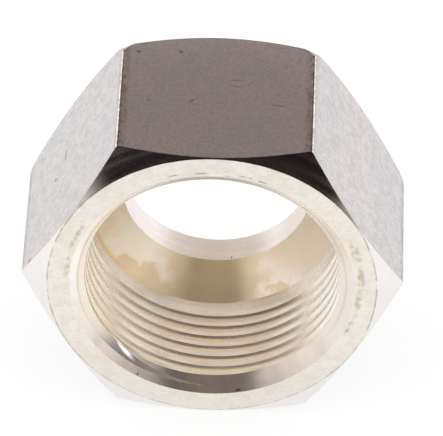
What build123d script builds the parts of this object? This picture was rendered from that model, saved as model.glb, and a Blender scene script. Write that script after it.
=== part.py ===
from build123d import *

import os
from math import radians, sqrt, tan

# Union nut for a compression tube fitting, turned in one piece from hexagon bar.
# Millimetres. The nut's axis is Y and it lies on one hexagon flat, with +Z up.
# The threaded mouth faces -Y, the collar that the tube passes through faces +Y,
# and the origin is on the axis, midway between the two end faces.

# Hexagon bar and the two turned ends
wall_over_thread = 3.0
length = 18.5
corner_radius = 0.25
face_undersize = 0.15
mouth_end_angle = 30.0
collar_end_angle = 32.5

# Internal thread M26 x 1.5, bored at its minor diameter
thread_major = 26.0
thread_pitch = 1.5
minor_oversize = 0.32
mouth_flare = 0.75
mouth_chamfer_depth = 1.15

# Collar that holds the 18 mm tube, with the cone that presses on the cutting ring
tube_diameter = 18.0
tube_clearance = 0.3
collar_length = 3.55
collar_edge = 0.4
cone_half_angle = 45.0

# Sizes that follow from the ones above; the wrench size is 32
across_flats = thread_major + 2 * wall_over_thread
face_radius = across_flats / 2 - face_undersize
thread_height = thread_pitch * sqrt(3) / 2
minor_radius = thread_major / 2 - 5 / 8 * thread_height + minor_oversize / 2
mouth_radius = thread_major / 2 + mouth_flare
collar_radius = tube_diameter / 2 + tube_clearance
cone_depth = (minor_radius - collar_radius) / tan(radians(cone_half_angle))
blank_radius = across_flats / sqrt(3) + corner_radius
mouth_end_rise = (blank_radius - face_radius) * tan(radians(mouth_end_angle))
collar_end_rise = (blank_radius - face_radius) * tan(radians(collar_end_angle))

# Stations along the axis, from the mouth to the collar
mouth_face = -length / 2
collar_face = length / 2
thread_start = mouth_face + mouth_chamfer_depth
cone_end = collar_face - collar_length
cone_start = cone_end - cone_depth
collar_edge_start = collar_face - collar_edge

with BuildPart() as union_nut:
    # The bar: a hexagon standing on one flat, with its six long corners a little rounded
    with BuildSketch(Plane.XZ.offset(-collar_face)):
        RegularPolygon(radius=across_flats / 2, side_count=6, major_radius=False)
    extrude(amount=length)
    fillet(union_nut.edges().filter_by(Axis.Y), radius=corner_radius)

    # Both ends are chamfered in the lathe, which leaves a round face and curved edges
    # where each cone runs out on the flats
    with BuildSketch(Plane.XY):
        with BuildLine():
            Polyline(
                (0, mouth_face),
                (face_radius, mouth_face),
                (blank_radius, mouth_face + mouth_end_rise),
                (blank_radius, collar_face - collar_end_rise),
                (face_radius, collar_face),
                (0, collar_face),
                close=True,
            )
        make_face()
    revolve(axis=Axis.Y, mode=Mode.INTERSECT)

    # One stepped bore: chamfered mouth, thread bore, ring cone, tube bore, broken rear edge
    with BuildSketch(Plane.XY):
        with BuildLine():
            Polyline(
                (0, mouth_face),
                (mouth_radius, mouth_face),
                (minor_radius, thread_start),
                (minor_radius, cone_start),
                (collar_radius, cone_end),
                (collar_radius, collar_edge_start),
                (collar_radius + collar_edge, collar_face),
                (0, collar_face),
                close=True,
            )
        make_face()
    revolve(axis=Axis.Y, mode=Mode.SUBTRACT)

union_nut.part.label = "union_nut"

os.makedirs("parts", exist_ok=True)
export_step(union_nut.part, "parts/union_nut.step")
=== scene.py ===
from math import cos, hypot, pi, radians, sin, sqrt, tan

import bpy
from mathutils import Matrix, Vector


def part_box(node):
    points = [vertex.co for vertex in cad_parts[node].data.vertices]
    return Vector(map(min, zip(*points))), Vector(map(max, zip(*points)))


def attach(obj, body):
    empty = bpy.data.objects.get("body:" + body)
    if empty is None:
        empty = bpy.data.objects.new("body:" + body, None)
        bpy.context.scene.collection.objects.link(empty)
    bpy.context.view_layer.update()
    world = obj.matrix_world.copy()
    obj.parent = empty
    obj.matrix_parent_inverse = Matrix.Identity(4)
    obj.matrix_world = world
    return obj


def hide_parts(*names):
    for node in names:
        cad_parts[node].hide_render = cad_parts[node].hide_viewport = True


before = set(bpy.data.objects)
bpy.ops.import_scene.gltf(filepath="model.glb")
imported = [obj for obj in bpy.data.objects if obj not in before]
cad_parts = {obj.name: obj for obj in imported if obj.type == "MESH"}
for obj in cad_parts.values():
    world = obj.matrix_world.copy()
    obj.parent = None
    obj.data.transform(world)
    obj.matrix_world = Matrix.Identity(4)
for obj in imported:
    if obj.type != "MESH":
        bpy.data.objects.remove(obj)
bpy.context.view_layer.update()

MM = 0.001

# The camera looks into the threaded mouth from above, through a long lens.
# Its place and angles are worked out from the photograph, 443 x 436 pixels.
photo_width = 443
camera_place = Vector((8.553, -406.667, 341.106)) * MM
camera_azimuth = radians(1.115)
camera_elevation = radians(39.907)
camera_roll = radians(1.046)
focal_pixels = 5441.97

bpy.ops.object.select_all(action="DESELECT")
bpy.ops.object.camera_add()
camera = bpy.context.object
camera.matrix_world = (
    Matrix.Translation(camera_place)
    @ Matrix.Rotation(camera_azimuth, 4, "Z")
    @ Matrix.Rotation(radians(90) - camera_elevation, 4, "X")
    @ Matrix.Rotation(camera_roll, 4, "Z")
)
camera.data.sensor_width = 36
camera.data.lens = focal_pixels * camera.data.sensor_width / photo_width
camera.data.clip_start = 0.05
camera.data.clip_end = 20
bpy.context.scene.camera = camera

# The bar: drawn hexagon steel, 32 mm across flats, lying on one flat along Y.
# Its six long corners are a little rounded by the drawing die and by handling.
nut_low, nut_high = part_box("union_nut")
mouth_y = nut_low.y
collar_y = nut_high.y
flat_distance = nut_high.z
corner_distance = flat_distance * 2 / sqrt(3)
corner_radius = 0.4 * MM
corner_steps = 5
beyond = 1.0 * MM


def select_edges(piece, chosen):
    """Leaves the piece in edit mode, with the edges selected whose two ends pass the test."""
    bpy.ops.object.mode_set(mode="EDIT")
    bpy.ops.mesh.select_mode(type="EDGE")
    bpy.ops.mesh.select_all(action="DESELECT")
    bpy.ops.object.mode_set(mode="OBJECT")
    mesh = piece.data
    for edge in mesh.edges:
        edge.select = chosen(*[mesh.vertices[i].co for i in edge.vertices])
    bpy.ops.object.mode_set(mode="EDIT")


def from_axis(point):
    """The distance of a point from the nut's axis."""
    return hypot(point.x, point.z)


bpy.ops.object.select_all(action="DESELECT")
bpy.ops.mesh.primitive_cylinder_add(
    vertices=6,
    radius=corner_distance,
    depth=collar_y - mouth_y + 2 * beyond,
    rotation=(radians(90), radians(30), 0),
)
nut = bpy.context.object
nut.name = "plated_union_nut"
nut.data.name = "plated_union_nut"
bpy.ops.object.transform_apply(location=True, rotation=True, scale=True)
select_edges(nut, lambda a, b: abs(a.y - b.y) > beyond)
bpy.ops.mesh.bevel(offset=corner_radius * tan(radians(30)), segments=corner_steps, affect="EDGES")
bpy.ops.object.mode_set(mode="OBJECT")

# The turned ends: both ends of the bar are faced and chamfered in the lathe, at 30
# degrees on the mouth side and a little steeper on the collar side. The cones run
# out on the flats in curved edges, and each sharp edge is then just broken. At the
# collar end the six tips are blunted from knocking about among other nuts.
turning_steps = 240
face_radius = flat_distance - 0.15 * MM
blank_radius = corner_distance + beyond
mouth_end_angle = radians(30)
collar_end_angle = radians(32.5)
mouth_end_slope = tan(mouth_end_angle)
collar_end_slope = tan(collar_end_angle)
blunt_radius = 17.98 * MM
blunt_length = 1.8 * MM
blunt_rounding = [(0.9 * MM, 0.40 * MM), (0.35 * MM, 0.24 * MM)]
sharp_angle = radians(25)
broken_edge = 0.02 * MM


def turned_solid(stations):
    """A solid of revolution about Y through stations of (y, radius)."""
    y, radius = stations[0]
    bpy.ops.object.select_all(action="DESELECT")
    bpy.ops.mesh.primitive_circle_add(
        vertices=turning_steps,
        radius=radius,
        fill_type="NGON",
        location=(0, y, 0),
        rotation=(radians(90), 0, 0),
    )
    solid = bpy.context.object
    bpy.ops.object.transform_apply(location=True, rotation=True, scale=True)
    bpy.ops.object.mode_set(mode="EDIT")
    bpy.ops.mesh.select_all(action="SELECT")
    for next_y, next_radius in stations[1:]:
        bpy.ops.mesh.extrude_region_move(TRANSFORM_OT_translate={"value": (0, next_y - y, 0)})
        growth = next_radius / radius
        bpy.ops.transform.resize(value=(growth, 1, growth), center_override=(0, next_y, 0))
        y, radius = next_y, next_radius
    bpy.ops.mesh.select_all(action="SELECT")
    bpy.ops.mesh.normals_make_consistent(inside=False)
    bpy.ops.object.mode_set(mode="OBJECT")
    return solid


def cut_nut(tool, operation):
    """Applies the tool to the nut and deletes the tool."""
    bpy.ops.object.select_all(action="DESELECT")
    bpy.context.view_layer.objects.active = nut
    cut = nut.modifiers.new("cut", "BOOLEAN")
    cut.object = tool
    cut.operation = operation
    cut.solver = "EXACT"
    bpy.ops.object.modifier_apply(modifier=cut.name)
    bpy.data.objects.remove(tool)


blunt_y = collar_y - (blunt_radius - face_radius) * collar_end_slope
blank = turned_solid(
    [
        (mouth_y, face_radius),
        (mouth_y + (blank_radius - face_radius) * mouth_end_slope, blank_radius),
        (blunt_y - blunt_length, blank_radius),
        *[(blunt_y - back, blunt_radius + out) for back, out in blunt_rounding],
        (blunt_y, blunt_radius),
        (collar_y, face_radius),
    ]
)
cut_nut(blank, "INTERSECT")
bpy.ops.object.mode_set(mode="EDIT")
bpy.ops.mesh.select_mode(type="EDGE")
bpy.ops.mesh.select_all(action="DESELECT")
bpy.ops.mesh.edges_select_sharp(sharpness=sharp_angle)
bpy.ops.mesh.bevel(offset=broken_edge, segments=2, affect="EDGES", clamp_overlap=True)
bpy.ops.object.mode_set(mode="OBJECT")

# The bore: a lead-in chamfer at the mouth, the bore for the thread, the cone that
# presses on the cutting ring, and the collar's bore for the 18 mm tube. The cone and
# the broken edge behind the collar both stand at 45 degrees.
mouth_radius = 13.75 * MM
mouth_chamfer_depth = 1.15 * MM
minor_radius = 12.348 * MM
tube_bore_radius = 9.3 * MM
collar_length = 3.55 * MM
collar_edge = 0.4 * MM
cone_angle = radians(45)
mouth_flare = (mouth_radius - minor_radius) / mouth_chamfer_depth
thread_start = mouth_y + mouth_chamfer_depth
cone_end = collar_y - collar_length
cone_start = cone_end - (minor_radius - tube_bore_radius)
boring = turned_solid(
    [
        (mouth_y - beyond, mouth_radius + beyond * mouth_flare),
        (thread_start, minor_radius),
        (cone_start, minor_radius),
        (cone_end, tube_bore_radius),
        (collar_y - collar_edge, tube_bore_radius),
        (collar_y + beyond, tube_bore_radius + collar_edge + beyond),
    ]
)
cut_nut(boring, "DIFFERENCE")

# The thread: M26 x 1.5, right-hand, cut by a 60 degree tool with a pointed nose that
# enters at the mouth and is drawn out towards the axis near the top of the last turn.
# Its groove is made as a coil of the tool's own section, with a fine broken crest edge.
thread_pitch = 1.5 * MM
major_radius = 13.15 * MM
groove_half = 0.47 * MM
flank_angle = radians(30)
flank_slope = tan(flank_angle)
crest_break = 0.015 * MM
coil_inner_radius = 12.2 * MM
first_groove_y = mouth_y - 1.022 * MM
thread_full_y = thread_start + 0.45 * MM
thread_turns = 7.55
fade_turns = 0.25
fade_depth = (major_radius - coil_inner_radius) * 1.05
weld_distance = 0.001 * MM
nose_half = groove_half - (major_radius - minor_radius) * flank_slope
nose_foot = major_radius - 2 * nose_half
groove_section = [
    (nose_foot, nose_half + 2 * nose_half * flank_slope),
    (minor_radius + crest_break, groove_half - crest_break * flank_slope),
    (coil_inner_radius, groove_half + minor_radius - coil_inner_radius + crest_break),
]

bpy.ops.object.select_all(action="DESELECT")
bpy.ops.mesh.primitive_plane_add(
    size=nose_half * 2,
    location=(0, first_groove_y, nose_half - major_radius),
    rotation=(0, radians(90), 0),
)
coil = bpy.context.object
bpy.ops.object.transform_apply(location=True, rotation=True, scale=True)
select_edges(coil, lambda a, b: max(from_axis(a), from_axis(b)) < major_radius - nose_half)
radius, half_width = nose_foot, nose_half
for next_radius, next_half_width in groove_section:
    if next_radius < radius:
        bpy.ops.mesh.extrude_region_move(
            TRANSFORM_OT_translate={"value": (0, 0, radius - next_radius)}
        )
    bpy.ops.transform.resize(
        value=(1, next_half_width / half_width, 1), center_override=(0, first_groove_y, 0)
    )
    radius, half_width = next_radius, next_half_width
bpy.ops.mesh.select_all(action="SELECT")
bpy.ops.mesh.dissolve_faces()
bpy.ops.mesh.delete(type="ONLY_FACE")
bpy.ops.object.mode_set(mode="OBJECT")
ring_size = len(coil.data.vertices)
winding = coil.modifiers.new("winding", "SCREW")
winding.axis = "Y"
winding.angle = 2 * pi * thread_turns
winding.screw_offset = thread_pitch * thread_turns
winding.steps = round(turning_steps * thread_turns)
winding.render_steps = winding.steps
bpy.ops.object.modifier_apply(modifier=winding.name)
bpy.ops.object.mode_set(mode="EDIT")
bpy.ops.mesh.select_mode(type="EDGE")
bpy.ops.mesh.select_all(action="DESELECT")
bpy.ops.mesh.select_non_manifold()
bpy.ops.mesh.fill_holes(sides=ring_size)
bpy.ops.mesh.select_all(action="SELECT")
bpy.ops.mesh.normals_make_consistent(inside=False)
bpy.ops.object.mode_set(mode="OBJECT")
fade_steps = round(turning_steps * fade_turns)
ring_count = len(coil.data.vertices) // ring_size
for step in range(fade_steps):
    share = (step + 1) / fade_steps
    ring = (ring_count - fade_steps + step) * ring_size
    for corner in coil.data.vertices[ring : ring + ring_size]:
        growth = 1 - fade_depth * share * share / from_axis(corner.co)
        corner.co.x *= growth
        corner.co.z *= growth
cut_nut(coil, "DIFFERENCE")

bpy.ops.object.mode_set(mode="EDIT")
bpy.ops.mesh.select_all(action="SELECT")
bpy.ops.mesh.remove_doubles(threshold=weld_distance)
bpy.ops.mesh.select_all(action="DESELECT")
bpy.ops.object.mode_set(mode="OBJECT")
nut.select_set(True)
bpy.context.view_layer.objects.active = nut
bpy.ops.object.shade_smooth_by_angle(angle=sharp_angle)
weighing = nut.modifiers.new("weighing", "WEIGHTED_NORMAL")
weighing.mode = "FACE_AREA"
weighing.weight = 100
weighing.keep_sharp = True
bpy.ops.object.modifier_apply(modifier=weighing.name)

# The shine of a turned face is as round as the lathe made it. Each slope is the way one
# kind of turned face looks, outward from the axis and along it.
lead = thread_pitch / (2 * pi)
mouth_cone_length = hypot(mouth_flare, 1)
flank_slopes = [
    (-sin(flank_angle), -cos(flank_angle)),
    (-sin(flank_angle), cos(flank_angle)),
]
turned_slopes = [
    (-1, 0),
    (-sin(cone_angle), -cos(cone_angle)),
    (-sin(cone_angle), cos(cone_angle)),
    (-1 / mouth_cone_length, -mouth_flare / mouth_cone_length),
    *flank_slopes,
    (sin(mouth_end_angle), -cos(mouth_end_angle)),
    (sin(collar_end_angle), cos(collar_end_angle)),
]
same_slope = cos(radians(10))
outward_of_flats = 0.6
along_of_end_faces = 0.99


def turned_normal(face, corner):
    """The exact normal of a turned face at one of its corners, or None on any other face."""
    outward = Vector((face.center.x, 0, face.center.z)).normalized()
    slope = face.normal.dot(outward), face.normal.y
    near = max(turned_slopes, key=lambda each: each[0] * slope[0] + each[1] * slope[1])
    if near[0] * slope[0] + near[1] * slope[1] < same_slope:
        return None
    outward = Vector((corner.x, 0, corner.z)).normalized()
    around = Vector((outward.z, 0, -outward.x))
    twist = -near[1] * lead / from_axis(corner) if near in flank_slopes else 0
    return (outward * near[0] + Vector((0, near[1], 0)) + around * twist).normalized()


mesh = nut.data
corner_normals = [corner.vector.copy() for corner in mesh.corner_normals]
for face in mesh.polygons:
    facing, centre = face.normal, face.center
    outward = (facing.x * centre.x + facing.z * centre.z) / from_axis(centre)
    if outward > outward_of_flats or abs(facing.y) > along_of_end_faces:
        continue
    for loop in face.loop_indices:
        exact = turned_normal(face, mesh.vertices[mesh.loops[loop].vertex_index].co)
        if exact:
            corner_normals[loop] = exact
mesh.normals_split_custom_set(corner_normals)

# The plating: one thin bright coat over the whole nut, silver with a warm tone. It looks
# different on each finish below it: mottled on the drawn flats, ringed by the lathe on
# the turned ends, and soft and creamy in the bore, where it was never handled. Several
# finishes also carry painted light and shade, as their docstrings say.


def add_node(tree, kind, inputs=None, **settings):
    """Adds a shader node, sets its options, and fills its inputs with values or sockets."""
    new_node = tree.nodes.new("ShaderNode" + kind)
    for name, value in settings.items():
        setattr(new_node, name, value)
    for name, value in (inputs or {}).items():
        if isinstance(value, bpy.types.NodeSocket):
            tree.links.new(value, new_node.inputs[name])
        else:
            new_node.inputs[name].default_value = value
    return new_node


def calculate(tree, operation, first, second=0.0, third=0.0):
    """One step of arithmetic."""
    inputs = {0: first, 1: second, 2: third}
    return add_node(tree, "Math", inputs, operation=operation).outputs[0]


def distance_to(tree, value, target):
    """How far the value is from the target, either way."""
    return calculate(tree, "ABSOLUTE", calculate(tree, "SUBTRACT", value, target))


def fade(tree, value, start, end, low=0.0, high=1.0, bend="SMOOTHSTEP"):
    """Goes smoothly, or evenly, from low to high while the value goes from start to end."""
    ends = {"Value": value, "From Min": start, "From Max": end, "To Min": low, "To Max": high}
    return add_node(tree, "MapRange", ends, interpolation_type=bend).outputs[0]


def noise(tree, vector, scale, detail=3.0, roughness=0.5):
    """A noise pattern, from 0 to 1."""
    inputs = {"Vector": vector, "Scale": scale, "Detail": detail, "Roughness": roughness}
    return add_node(tree, "TexNoise", inputs).outputs["Fac"]


def tint(tree, share, colour, other):
    """Mixes two colours."""
    mixer = add_node(tree, "Mix", {0: share}, data_type="RGBA")
    for socket, value in ((6, colour), (7, other)):
        if isinstance(value, bpy.types.NodeSocket):
            tree.links.new(value, mixer.inputs[socket])
        else:
            mixer.inputs[socket].default_value = (*value, 1)
    return mixer.outputs[2]


def stretched(tree, vector, amounts, turn=(0, 0, 0)):
    """The same place, turned and then scaled along each axis."""
    inputs = {"Vector": vector, "Rotation": turn, "Scale": amounts}
    return add_node(tree, "Mapping", inputs).outputs[0]


def split(tree, vector):
    """The x, y and z of a place."""
    return add_node(tree, "SeparateXYZ", {0: vector}).outputs


def length_of(tree, vector):
    """How long a vector is."""
    return add_node(tree, "VectorMath", {0: vector}, operation="LENGTH").outputs["Value"]


def marks(tree, in_mm, places):
    """Soft marks, each with its place, half sizes and turn: 1 on a mark and 0 beside it."""
    share = 0.0
    for place, half_size, turn in places:
        inputs = {"Vector": in_mm, "Location": place, "Rotation": turn, "Scale": half_size}
        local = add_node(tree, "Mapping", inputs, vector_type="TEXTURE").outputs[0]
        on_mark = fade(tree, length_of(tree, local), 0.3, 1.0, 1.0, 0.0)
        share = calculate(tree, "MAXIMUM", on_mark, share)
    return share


def new_finish(name, metallic):
    """A metal material, its tree, its shader, and the place on the nut in millimetres."""
    finish = bpy.data.materials.new(name)
    finish.use_nodes = True
    tree = finish.node_tree
    shader = tree.nodes["Principled BSDF"]
    shader.inputs["Metallic"].default_value = metallic
    place = add_node(tree, "TexCoord").outputs["Object"]
    in_mm = add_node(tree, "VectorMath", {0: place, "Scale": 1 / MM}, operation="SCALE")
    return finish, tree, shader, in_mm.outputs[0]


def way_out(tree, x, z):
    """The way from the axis to a place, straight out."""
    return add_node(tree, "CombineXYZ", {0: x, 2: z}).outputs[0]


def lathe_feed(tree, y, outward, radius):
    """A pattern space that runs round the axis and follows the lathe's feed."""
    around = add_node(tree, "VectorMath", {0: outward}, operation="NORMALIZE").outputs[0]
    turn = split(tree, around)
    feed = calculate(tree, "MULTIPLY_ADD", y, 1.7, radius)
    return add_node(tree, "CombineXYZ", {0: turn["X"], 1: turn["Z"], 2: feed}).outputs[0]


def turned_finish(
    name, details, tone, stain, stain_share, speckle_share, roughness, bump_depth, metallic=1.0
):
    """
    A surface from the lathe: fine rings, soft stains and an uneven shine. Its details are a
    function that adds what only this surface has, and may also steer how metallic it is.
    """
    finish, tree, shader, in_mm = new_finish(name, metallic)
    x, y, z = split(tree, in_mm)
    outward = way_out(tree, x, z)
    radius = length_of(tree, outward)
    feed = lathe_feed(tree, y, outward, radius)
    rings = noise(tree, stretched(tree, feed, (1.1, 1.1, 2.6)), 1.0, 2.0)
    broad_rings = noise(tree, stretched(tree, feed, (1.2, 1.2, 0.8)), 1.0, 1.0)
    cloud = noise(tree, in_mm, 0.45, 4.0, 0.55)
    speckle = noise(tree, in_mm, 2.6)
    darker = [part * 0.86 for part in tone]
    colour = tint(tree, fade(tree, cloud, 0.40, 0.66, 0.0, stain_share), tone, stain)
    colour = tint(tree, fade(tree, rings, 0.30, 0.60, 0.12, 0.0), colour, darker)
    colour = tint(tree, fade(tree, speckle, 0.32, 0.54, speckle_share, 0.0), colour, darker)
    colour = details(tree, shader, in_mm, radius, colour)
    tree.links.new(colour, shader.inputs["Base Color"])
    shine = fade(tree, broad_rings, 0.3, 0.7, roughness - 0.04, roughness + 0.05)
    tree.links.new(shine, shader.inputs["Roughness"])
    height = calculate(tree, "MULTIPLY_ADD", speckle, 0.35, rings)
    bump = add_node(tree, "Bump", {"Strength": 1.0, "Distance": bump_depth, "Height": height})
    tree.links.new(bump.outputs[0], shader.inputs["Normal"])
    return finish


def on_mouth_face(degrees, radius, half_length, half_width):
    """A mark on the mouth face that follows the lathe's rings, at an angle from the top."""
    turn = radians(degrees)
    place = (radius * sin(turn), mouth_y / MM, radius * cos(turn))
    return place, (half_length, 0.4, half_width), (0, turn, 0)


def face_details(tree, shader, in_mm, radius, colour):
    """
    The ends: cloudy patches and scuffs, greyer chamfers, a fine dark line round the face,
    and dashes, stains and a speck near the mouth. Low down they are painted a little darker,
    as painted shade for the shadowed floor they mirror.
    """
    x, y, z = split(tree, in_mm)
    rim = face_radius / MM
    patches = noise(tree, in_mm, 0.9, 4.0, 0.6)
    scuffs = noise(tree, stretched(tree, in_mm, (1.2, 1.2, 5.0), (0.2, 0.7, 0)), 1.0)
    colour = tint(tree, fade(tree, patches, 0.42, 0.62, 0.0, 0.55), colour, (0.78, 0.75, 0.68))
    colour = tint(tree, fade(tree, scuffs, 0.56, 0.70, 0.0, 0.34), colour, (0.70, 0.66, 0.57))
    colour = tint(tree, fade(tree, radius, rim - 0.05, rim + 0.10), colour, (0.93, 0.89, 0.875))
    # Painted shade: darker low down, for the nut's shadow on the floor that the low face mirrors.
    colour = tint(tree, fade(tree, z, -6.0, -13.0, 0.0, 0.25), colour, (0.80, 0.745, 0.68))
    line = fade(tree, distance_to(tree, radius, rim + 0.02), 0.02, 0.12, 0.8, 0.0)
    line = calculate(tree, "MULTIPLY", line, fade(tree, patches, 0.3, 0.6))
    colour = tint(tree, line, colour, (0.42, 0.38, 0.33))
    dashes = [
        on_mouth_face(-15, 14.2, 1.0, 0.10),
        on_mouth_face(-5, 14.1, 0.9, 0.10),
        on_mouth_face(5.6, 13.9, 0.5, 0.10),
        on_mouth_face(13, 14.1, 1.2, 0.12),
        on_mouth_face(19, 14.0, 0.9, 0.10),
    ]
    broken = fade(tree, noise(tree, in_mm, 1.8), 0.34, 0.62, 0.15, 0.9)
    dark_share = calculate(tree, "MULTIPLY", marks(tree, in_mm, dashes), broken)
    colour = tint(tree, dark_share, colour, (0.24, 0.23, 0.20))
    stains = [
        on_mouth_face(71, 14.5, 2.2, 0.55),
        on_mouth_face(84, 14.4, 2.0, 0.50),
        on_mouth_face(96, 14.2, 2.4, 0.42),
        on_mouth_face(109, 14.1, 1.6, 0.30),
        on_mouth_face(-82, 14.1, 2.0, 0.36),
        on_mouth_face(-66, 14.25, 2.2, 0.36),
    ]
    stain_share = calculate(tree, "MULTIPLY", marks(tree, in_mm, stains), broken)
    colour = tint(tree, stain_share, colour, (0.55, 0.50, 0.36))
    specks = [((-17.5, -8.6, 2.5), (0.22, 0.5, 0.22), (0, 0, 0))]
    return tint(tree, marks(tree, in_mm, specks), colour, (0.12, 0.07, 0.07))


def groove_details(tree, shader, in_mm, radius, colour):
    """
    The thread: deep in its groove it is less metallic and painted lighter, as painted light
    for the light that bounces in the groove, and the right of the thread is painted lighter
    still. The first groove is painted dark at the lower left, as painted shade, and the first
    crest beside it carries a painted highlight.
    """
    x, y, z = split(tree, in_mm)
    # Painted light: past this edge, deep in the groove, the colour is painted lighter and less
    # metallic, for light bouncing in the groove.
    before_full = calculate(tree, "SUBTRACT", thread_full_y / MM, y)
    before_full = calculate(tree, "MAXIMUM", before_full)
    shiny_to = calculate(tree, "MULTIPLY_ADD", before_full, 1.3, 12.64)
    depth = calculate(tree, "SUBTRACT", radius, shiny_to)
    colour = tint(tree, fade(tree, depth, -0.06, 0.10), colour, (0.95, 0.84, 0.69))
    # Painted light: the right of the thread is painted lighter and made less metallic.
    right = fade(tree, x, 7.0, 11.5)
    left = calculate(tree, "MULTIPLY", fade(tree, x, -2.0, -8.0), fade(tree, y, -8.0, -6.8))
    colour = tint(tree, right, colour, (1.0, 0.98, 0.93))
    metallic = fade(tree, depth, -0.06, 0.10, 0.84, 0.30)
    metallic = calculate(tree, "MULTIPLY_ADD", right, -0.22, metallic)
    metallic = calculate(tree, "MULTIPLY_ADD", left, -0.26, metallic)
    metallic = calculate(tree, "MULTIPLY", metallic, fade(tree, y, 1.2, 1.9, 1.0, 0.55))
    # Painted shade: the first groove at the lower left is darkened, for the dark room it mirrors.
    first = calculate(tree, "MULTIPLY", fade(tree, y, -7.2, -7.8), fade(tree, z, -6.8, -9.0))
    first = calculate(tree, "MULTIPLY", first, fade(tree, x, -5.5, -8.0, 0.0, 0.85))
    colour = tint(tree, first, colour, (0.48, 0.43, 0.43))
    # Painted highlight: a near-white, less metallic streak along the first crest at the lower
    # left.
    turn, tilt = radians(-136), radians(11.5)
    along = (Matrix.Rotation(turn, 3, "Y") @ Matrix.Rotation(tilt, 3, "Z")).to_euler()
    painted_highlight_places = [((12.5 * sin(turn), -8.15, 12.5 * cos(turn)), (3.6, 0.22, 0.5), along)]
    bright = marks(tree, in_mm, painted_highlight_places)
    colour = tint(tree, bright, colour, (1.0, 0.99, 0.98))
    metallic = calculate(tree, "MULTIPLY", metallic, calculate(tree, "SUBTRACT", 1.0, bright))
    tree.links.new(metallic, shader.inputs["Metallic"])
    return colour


def cone_details(tree, shader, in_mm, radius, colour):
    """
    The cone: a yellow film with a ragged edge low in the middle, painted light to the right,
    an ochre rim at the left of its foot, and soft brown blotches from the plating bath.
    """
    x, y, z = split(tree, in_mm)
    ragged = noise(tree, in_mm, 0.55, 5.0, 0.6)
    from_middle = calculate(tree, "ABSOLUTE", x)
    from_middle = calculate(tree, "MULTIPLY_ADD", ragged, 7.0, from_middle)
    tinted_patch = fade(tree, from_middle, 9.4, 7.2)
    tinted_patch = calculate(tree, "MULTIPLY", tinted_patch, fade(tree, z, -7.0, -9.0))
    colour = tint(tree, tinted_patch, colour, (0.88, 0.765, 0.545))
    low_film = calculate(tree, "MULTIPLY", tinted_patch, fade(tree, z, -9.6, -11.6))
    colour = tint(tree, low_film, colour, (0.78, 0.685, 0.51))
    # Painted light: the right of the cone is painted lighter.
    colour = tint(tree, fade(tree, x, 5.0, 8.5, 0.0, 0.9), colour, (1.0, 0.985, 0.95))
    rim = fade(tree, distance_to(tree, y, cone_start / MM + 0.05), 0.05, 0.35, 0.75, 0.0)
    rim = calculate(tree, "MULTIPLY", rim, fade(tree, x, -4.0, -8.0))
    colour = tint(tree, rim, colour, (0.80, 0.62, 0.34))
    shake = {"Vector": in_mm, "Scale": 0.8, "Detail": 3.0}
    shake = add_node(tree, "TexNoise", shake).outputs["Color"]
    shaken = {0: shake, 1: (2.4, 2.4, 2.4), 2: in_mm}
    shaken = add_node(tree, "VectorMath", shaken, operation="MULTIPLY_ADD").outputs[0]
    shaken = {0: shaken, 1: (1.2, 1.2, 1.2)}
    shaken = add_node(tree, "VectorMath", shaken, operation="SUBTRACT").outputs[0]
    blotches = [
        ((-9.1, 2.9, -7.7), (1.5, 1.3, 1.4), (0, 0, 0)),
        ((-8.0, 2.9, -8.8), (2.0, 1.4, 1.8), (0, 0, 0)),
        ((-6.8, 3.1, -9.4), (2.2, 1.6, 1.8), (0, 0, 0)),
        ((-5.4, 2.5, -10.6), (2.0, 1.2, 1.8), (0, 0, 0)),
        ((6.2, 2.8, -10.0), (2.0, 0.8, 1.1), (0, 0, 0)),
    ]
    share = calculate(tree, "MULTIPLY", marks(tree, shaken, blotches), 1.6)
    share = calculate(tree, "MINIMUM", share, 0.8)
    return tint(tree, share, colour, (0.80, 0.655, 0.44))


def collar_details(tree, shader, in_mm, radius, colour):
    """The collar's bore: painted shade darkens its bottom and its right; one dark speck."""
    x, y, z = split(tree, in_mm)
    # Painted shade: a darker patch low in the collar, and a darker right side.
    tinted_patch = marks(tree, in_mm, [((0.8, 7.4, -9.3), (9.0, 6.0, 3.2), (0, 0, 0))])
    colour = tint(tree, tinted_patch, colour, (0.80, 0.72, 0.66))
    colour = tint(tree, fade(tree, x, 4.5, 7.5, 0.0, 0.7), colour, (0.86, 0.76, 0.70))
    specks = [((1.6, 6.0, -9.15), (0.10, 0.22, 0.3), (0, 0, 0))]
    return tint(tree, marks(tree, in_mm, specks), colour, (0.10, 0.04, 0.04))


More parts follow.
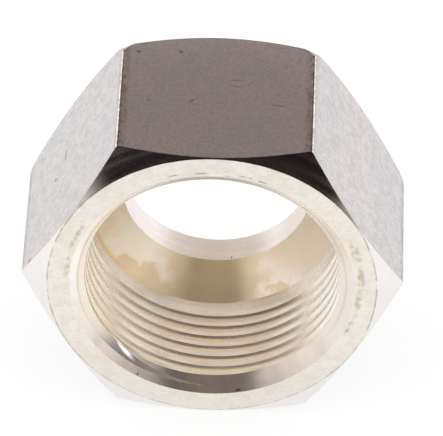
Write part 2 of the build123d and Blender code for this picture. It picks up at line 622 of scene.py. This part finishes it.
def lead_in_details(tree, shader, in_mm, radius, colour):
    """
    The lead-in chamfer: shiny at the bottom and softer towards the top, where it is also
    painted lighter as painted light, with a painted highlight high on the left, a beige line
    of painted shade halfway up it, painted shade on its low left and its right side, and
    small dents along its outer edge.
    """
    x, y, z = split(tree, in_mm)
    aside = fade(tree, calculate(tree, "ABSOLUTE", x), 2.0, 7.5, 0.0, 0.16)
    metallic = calculate(tree, "SUBTRACT", fade(tree, z, -6.0, 8.0, 0.97, 0.45), aside)
    tree.links.new(metallic, shader.inputs["Metallic"])
    # Painted light towards the top, and painted shade on the right.
    colour = tint(tree, fade(tree, z, -4.0, 8.0), colour, (1.0, 0.96, 0.90))
    colour = tint(tree, fade(tree, x, 8.5, 11.5, 0.0, 0.8), colour, (0.80, 0.745, 0.69))
    # Painted shade on the low left, and a painted highlight on the high left.
    left = fade(tree, x, -8.0, -10.0)
    low_left = calculate(tree, "MULTIPLY", left, fade(tree, z, -3.5, -6.0, 0.0, 0.7))
    colour = tint(tree, low_left, colour, (0.80, 0.735, 0.69))
    high_left = calculate(tree, "MULTIPLY", left, fade(tree, z, -3.5, -1.0, 0.0, 0.3))
    colour = tint(tree, high_left, colour, (1.0, 0.98, 0.95))
    # Painted shade: a beige line halfway up the chamfer.
    line = fade(tree, distance_to(tree, radius, 12.95), 0.03, 0.18, 0.8, 0.0)
    line = calculate(tree, "MULTIPLY", line, fade(tree, z, -8.0, -2.0))
    colour = tint(tree, line, colour, (0.70, 0.62, 0.50))
    dents = [
        on_mouth_face(168.3, 13.55, 0.36, 0.15),
        on_mouth_face(163.0, 13.35, 0.24, 0.11),
        on_mouth_face(-148.5, 13.55, 0.12, 0.28),
    ]
    return tint(tree, marks(tree, in_mm, dents), colour, (0.12, 0.10, 0.09))


def on_top_flat(x, y, half_length, half_width, degrees=0):
    """A mark on the top flat, turned from the X axis."""
    return (x, y, flat_distance / MM), (half_length, half_width, 0.4), (0, 0, radians(degrees))


def from_chamfer(tree, y, radius, end_y, slope):
    """How far a place lies, along the axis, from the end chamfer that has this slope."""
    tip = (abs(end_y) + face_radius * slope) / MM
    edge = calculate(tree, "MULTIPLY_ADD", radius, -slope, tip)
    return calculate(tree, "SUBTRACT" if end_y > 0 else "ADD", edge, y)


def drawn_finish(name, roughness):
    """The drawn flats: faintly mottled, with brown painted shade along their ends and corners,
    white painted highlights on the two top corners, a few scratches, some painted white as
    glints, and dents.
    """
    finish, tree, shader, in_mm = new_finish(name, 1.0)
    x, y, z = split(tree, in_mm)
    radius = length_of(tree, way_out(tree, x, z))
    cloud = noise(tree, in_mm, 0.20)
    mottle = noise(tree, in_mm, 1.1, 4.0, 0.6)
    swell = noise(tree, in_mm, 0.8, 1.0)
    grain = noise(tree, stretched(tree, in_mm, (2.2, 1.0, 2.2)), 1.6, 2.0)
    scuffs = noise(tree, stretched(tree, in_mm, (4.0, 0.6, 4.0), (0.3, 0.5, 0.9)), 1.0, 2.0)
    fine = noise(tree, in_mm, 3.0, 3.0, 0.6)
    warm, cool, dark = (0.795, 0.742, 0.734), (0.735, 0.722, 0.732), (0.50, 0.455, 0.44)
    colour = tint(tree, fade(tree, cloud, 0.38, 0.62), warm, cool)
    colour = tint(tree, fade(tree, mottle, 0.36, 0.60, 0.34, 0.0), colour, dark)
    colour = tint(tree, fade(tree, fine, 0.36, 0.56, 0.36, 0.0), colour, dark)
    colour = tint(tree, fade(tree, grain, 0.36, 0.58, 0.12, 0.0), colour, dark)
    colour = tint(tree, fade(tree, scuffs, 0.68, 0.76, 0.0, 0.30), colour, dark)
    # Painted shade: a brown band along the ends of the flats and on the rounded corners.
    to_back = from_chamfer(tree, y, radius, collar_y, collar_end_slope)
    to_front = from_chamfer(tree, y, radius, mouth_y, mouth_end_slope)
    painted_shade_by_ends = fade(tree, calculate(tree, "MINIMUM", to_back, to_front), 0.03, 0.20, 0.5, 0.0)
    painted_shade_on_corners = fade(tree, radius, 18.02, 18.36, 0.0, 0.9)
    painted_shade_at_edges = calculate(tree, "MAXIMUM", painted_shade_by_ends, painted_shade_on_corners)
    painted_shade_at_edges = calculate(tree, "MULTIPLY", painted_shade_at_edges, fade(tree, grain, 0.32, 0.62, 1.0, 0.35))
    colour = tint(tree, painted_shade_at_edges, colour, (0.40, 0.33, 0.28))
    scratches = [
        on_top_flat(-2.3, -0.6, 1.05, 0.10, 43),
        on_top_flat(6.0, -1.1, 1.35, 0.11, -11),
        on_top_flat(1.7, 1.7, 0.95, 0.10, -11),
        on_top_flat(3.1, 2.2, 0.9, 0.08, 43),
        on_top_flat(-6.5, -0.8, 0.5, 0.10, -50),
        on_top_flat(5.3, -1.6, 0.6, 0.07),
        on_top_flat(1.9, 2.6, 1.1, 0.09, 8),
        on_top_flat(5.6, 6.8, 0.5, 0.09, -20),
        on_top_flat(-7.8, 6.7, 0.35, 0.30),
        on_top_flat(-3.7, 6.8, 0.30, 0.28),
    ]
    scratched = marks(tree, in_mm, scratches)
    scratched = calculate(tree, "MULTIPLY", scratched, fade(tree, grain, 0.3, 0.6, 1.0, 0.45))
    colour = tint(tree, scratched, colour, (0.17, 0.15, 0.15))
    # Painted highlight: a light, non-metallic line on the side part of the two top corners.
    painted_highlight_on_corners = fade(tree, calculate(tree, "ABSOLUTE", x), 9.24, 9.30)
    painted_highlight_on_corners = calculate(tree, "MULTIPLY", painted_highlight_on_corners, fade(tree, radius, 18.30, 18.36))
    painted_highlight_on_corners = calculate(tree, "MULTIPLY", painted_highlight_on_corners, fade(tree, z, 14.5, 15.0))
    uneven = fade(tree, noise(tree, in_mm, 2.4), 0.36, 0.60, 0.25, 0.9)
    painted_highlight_on_corners = calculate(tree, "MULTIPLY", painted_highlight_on_corners, uneven)
    colour = tint(tree, painted_highlight_on_corners, colour, (0.98, 0.95, 0.92))
    tree.links.new(calculate(tree, "SUBTRACT", 1.0, painted_highlight_on_corners), shader.inputs["Metallic"])
    # Scratches on the right flat, painted white as glints.
    scratches_with_painted_glint = [
        ((12.05, -3.0, 11.12), (0.12, 1.3, 0.12), (0, 0, radians(-38))),
        ((10.5, -5.6, 13.8), (0.12, 0.5, 0.12), (0, 0, radians(-35))),
        ((14.79, -4.64, 6.38), (0.10, 0.9, 0.10), (0, 0, radians(-30))),
    ]
    colour = tint(tree, marks(tree, in_mm, scratches_with_painted_glint), colour, (1.0, 1.0, 1.0))
    dark_marks = [
        ((-14.6, 1.9, 6.7), (0.16, 1.1, 0.5), (0, radians(-60), 0)),
        ((-12.6, 0.6, 10.2), (0.14, 0.14, 0.3), (0, 0, 0)),
        ((-15.5, -0.1, 5.2), (0.2, 0.35, 0.3), (0, 0, 0)),
        ((-17.62, -7.99, 1.48), (0.40, 0.40, 0.40), (0, 0, 0)),
    ]
    colour = tint(tree, marks(tree, in_mm, dark_marks), colour, (0.22, 0.18, 0.19))
    tree.links.new(colour, shader.inputs["Base Color"])
    shine = fade(tree, mottle, 0.3, 0.7, roughness + 0.05, roughness - 0.04)
    tree.links.new(shine, shader.inputs["Roughness"])
    dented = fade(tree, radius, 18.1, 18.4, 0.0, 6.0)
    relief = calculate(tree, "MULTIPLY_ADD", grain, dented, swell)
    height = calculate(tree, "MULTIPLY_ADD", scratched, -0.8, relief)
    bump = add_node(tree, "Bump", {"Strength": 1.0, "Distance": 0.005 * MM, "Height": height})
    tree.links.new(bump.outputs[0], shader.inputs["Normal"])
    return finish


drawn_flats = drawn_finish("drawn_flats", roughness=0.20)
turned_ends = turned_finish(
    "turned_ends",
    face_details,
    tone=(0.91, 0.85, 0.785),
    stain=(0.84, 0.775, 0.67),
    stain_share=0.6,
    speckle_share=0.45,
    roughness=0.12,
    bump_depth=0.0008 * MM,
)
threaded_bore = turned_finish(
    "threaded_bore",
    groove_details,
    tone=(0.95, 0.87, 0.755),
    stain=(0.91, 0.81, 0.64),
    stain_share=0.5,
    speckle_share=0.08,
    roughness=0.27,
    bump_depth=0.0001 * MM,
)
ring_cone = turned_finish(
    "ring_cone",
    cone_details,
    tone=(1.0, 0.95, 0.87),
    stain=(0.98, 0.90, 0.78),
    stain_share=0.6,
    speckle_share=0.08,
    roughness=0.18,
    bump_depth=0.0002 * MM,
    metallic=0.75,
)
tube_bore = turned_finish(
    "tube_bore",
    collar_details,
    tone=(1.0, 0.95, 0.91),
    stain=(0.96, 0.88, 0.80),
    stain_share=0.3,
    speckle_share=0.08,
    roughness=0.26,
    bump_depth=0.0001 * MM,
    metallic=0.90,
)
mouth_chamfer = turned_finish(
    "mouth_chamfer",
    lead_in_details,
    tone=(0.93, 0.87, 0.82),
    stain=(0.80, 0.70, 0.58),
    stain_share=0.5,
    speckle_share=0.20,
    roughness=0.16,
    bump_depth=0.001 * MM,
)
finishes = [drawn_flats, turned_ends, threaded_bore, ring_cone, tube_bore, mouth_chamfer]
for finish in finishes:
    nut.data.materials.append(finish)

flat_outward = 0.9
bore_outward = -0.1
mouth_chamfer_facing = mouth_flare / mouth_cone_length


def finish_of(centre, normal):
    """Which finish a face has, by its place and the way it faces."""
    outward = (normal.x * centre.x + normal.z * centre.z) / from_axis(centre)
    if outward > flat_outward:
        return drawn_flats
    if outward > bore_outward:
        return turned_ends
    if centre.y > cone_end:
        return tube_bore
    if centre.y > cone_start:
        return ring_cone
    if abs(normal.y + mouth_chamfer_facing) < 0.03:
        return mouth_chamfer
    return threaded_bore


for face in nut.data.polygons:
    face.material_index = finishes.index(finish_of(face.center, face.normal))

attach(nut, "root")
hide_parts("union_nut")

# The floor: one large pale sheet that the nut lies on. The camera sees it almost white,
# with a soft shadow under the nut. In the metal its glow carries painted shade: bright near
# the nut and darker towards the camera, sooner on the right, with a painted shadow just in
# front of and under the nut.
floor_z = nut_low.z
white_to_camera = 0.80
glow_in_painted_shade_at_front = 0.22
glow_in_painted_shadow = 0.94
bpy.ops.object.select_all(action="DESELECT")
bpy.ops.mesh.primitive_plane_add(size=6, location=(0, 0, floor_z))
floor = bpy.context.object
floor.name = "floor"
paper = bpy.data.materials.new("paper")
paper.use_nodes = True
tree = paper.node_tree
tree.nodes.clear()
path = add_node(tree, "LightPath")
seen = calculate(tree, "MULTIPLY", path.outputs["Is Camera Ray"], white_to_camera)
share = calculate(tree, "MAXIMUM", seen, path.outputs["Is Glossy Ray"])
x, y, z = split(tree, add_node(tree, "TexCoord").outputs["Object"])
# Painted shade in what the metal mirrors: the glow falls off towards the camera, and a painted
# shadow lies just in front of and under the nut.
front_end = fade(tree, x, -0.03, 0.03, -0.22, -0.125, "LINEAR")
reflected = fade(tree, y, front_end, -0.042, glow_in_painted_shade_at_front, 1.0, "LINEAR")
painted_shadow_under_nut = fade(tree, y, -0.022, -0.011, 1.0, glow_in_painted_shadow, "LINEAR")
reflected = calculate(tree, "MULTIPLY", reflected, painted_shadow_under_nut)
lit = add_node(tree, "Mix", {0: path.outputs["Is Glossy Ray"], 2: 1.0, 3: reflected}).outputs[0]
matt = add_node(tree, "BsdfDiffuse", {"Color": (0.95, 0.95, 0.95, 1)})
white = add_node(tree, "Emission", {"Color": (1, 1, 1, 1), "Strength": lit})
both = add_node(tree, "MixShader", {0: share, 1: matt.outputs[0], 2: white.outputs[0]})
add_node(tree, "OutputMaterial", {"Surface": both.outputs[0]})
floor.data.materials.append(paper)

# The light: a plain even sky and two large softboxes, left and right, that the metal
# doesn't mirror. Cards that only the metal sees stand for the dark room in front of the
# table, its brighter sides, and the grey room above and behind it.
world = bpy.data.worlds.new("studio")
bpy.context.scene.world = world
world.use_nodes = True
sky = world.node_tree.nodes["Background"]
sky.inputs["Color"].default_value = (1, 1, 1, 1)
sky.inputs["Strength"].default_value = 1.0
for side in (-1, 1):
    place = Vector((side * 0.45, -0.12, 0.36))
    bpy.ops.object.light_add(type="AREA", location=place)
    softbox = bpy.context.object
    softbox.rotation_euler = (-place).to_track_quat("-Z", "Y").to_euler()
    softbox.data.shape = "SQUARE"
    softbox.data.size = 0.62
    softbox.data.energy = 1.0
    softbox.visible_glossy = False


def standing_card(name, distance, azimuths, heights, low_colour, high_colour, sides=()):
    """
    A curved card around the nut, at azimuths from the front in degrees, shaded from foot to
    top. Each side is the azimuths over which the card changes to another colour.
    """
    columns = 24
    places = []
    for height in heights:
        for column in range(columns + 1):
            azimuth = radians(azimuths[0] + (azimuths[1] - azimuths[0]) * column / columns)
            places.append((distance * sin(azimuth), -distance * cos(azimuth), height))
    faces = [(i, i + 1, i + columns + 2, i + columns + 1) for i in range(columns)]
    mesh = bpy.data.meshes.new(name)
    mesh.from_pydata(places, [], faces)
    card = bpy.data.objects.new(name, mesh)
    bpy.context.scene.collection.objects.link(card)
    card.visible_camera = False
    card.visible_diffuse = False
    card.visible_shadow = False
    board = bpy.data.materials.new(name)
    board.use_nodes = True
    tree = board.node_tree
    tree.nodes.clear()
    x, y, z = split(tree, add_node(tree, "TexCoord").outputs["Object"])
    rise = fade(tree, z, heights[0], heights[1], bend="LINEAR")
    colour = tint(tree, rise, low_colour, high_colour)
    azimuth = calculate(tree, "ARCTAN2", x, calculate(tree, "MULTIPLY", y, -1.0))
    for side_start, side_end, side_colour in sides:
        turned = fade(tree, azimuth, radians(side_start), radians(side_end))
        colour = tint(tree, turned, colour, side_colour)
    glow = add_node(tree, "Emission", {"Color": colour, "Strength": 1.0})
    add_node(tree, "OutputMaterial", {"Surface": glow.outputs[0]})
    mesh.materials.append(board)


# The room in front, in bands from the floor up: each band's heights, its colours at the
# foot and the top, and where it turns to the light on its left and on its right.
front_distance = 0.25
front_azimuths = (-62, 64)
black = (0.008, 0.006, 0.006)
dark = (0.012, 0.009, 0.009)
left_light = (0.90, 0.82, 0.77)
right_light = (0.98, 0.85, 0.77)
high_right_light = (0.74, 0.64, 0.57)
front_room = [
    (
        "dark_room",
        (floor_z, 0.060),
        (black, dark),
        (-37, -49, left_light),
        (39, 51, right_light),
    ),
    (
        "low_room",
        (0.060, 0.095),
        (dark, dark),
        (-32, -44, left_light),
        (34, 47, right_light),
    ),
    (
        "dim_room",
        (0.095, 0.155),
        (dark, (0.05, 0.041, 0.038)),
        (-21, -40, left_light),
        (23, 45, high_right_light),
    ),
    (
        "camera_side",
        (0.155, 0.25),
        ((0.19, 0.153, 0.141), (0.30, 0.247, 0.19)),
        (-14, -45, left_light),
        (18, 52, high_right_light),
    ),
    (
        "upper_room",
        (0.25, 0.45),
        ((0.195, 0.144, 0.090), (0.78, 0.62, 0.42)),
        (-33, -48, left_light),
        (40, 56, high_right_light),
    ),
]
for name, heights, colours, left_side, right_side in front_room:
    sides = (left_side, right_side)
    standing_card(name, front_distance, front_azimuths, heights, *colours, sides)

# The room behind: a pale wall far off, and three grey cards close to the nut.
wall_azimuths = (110, 250)
wall_pale = (0.98, 0.95, 0.92)
wall_grey = (0.76, 0.71, 0.66)
wall_top = (0.80, 0.76, 0.72)
back_grey = (0.285, 0.236, 0.228)
side_grey = (0.15, 0.12, 0.11)
standing_card("back_wall", 0.60, wall_azimuths, (0.10, 0.50), wall_pale, wall_grey)
standing_card("back_wall_top", 0.60, wall_azimuths, (0.50, 0.90), wall_grey, wall_top)
standing_card("back_card", 0.060, (150, 210), (0.049, 0.14), back_grey, back_grey)
standing_card("left_card", 0.061, (112, 151), (0.022, 0.14), side_grey, back_grey)
standing_card("right_card", 0.061, (209, 248), (0.022, 0.14), side_grey, back_grey)

bpy.context.scene.view_settings.view_transform = "Standard"
bpy.context.scene.cycles.glossy_bounces = 12
bpy.context.scene.cycles.diffuse_bounces = 8
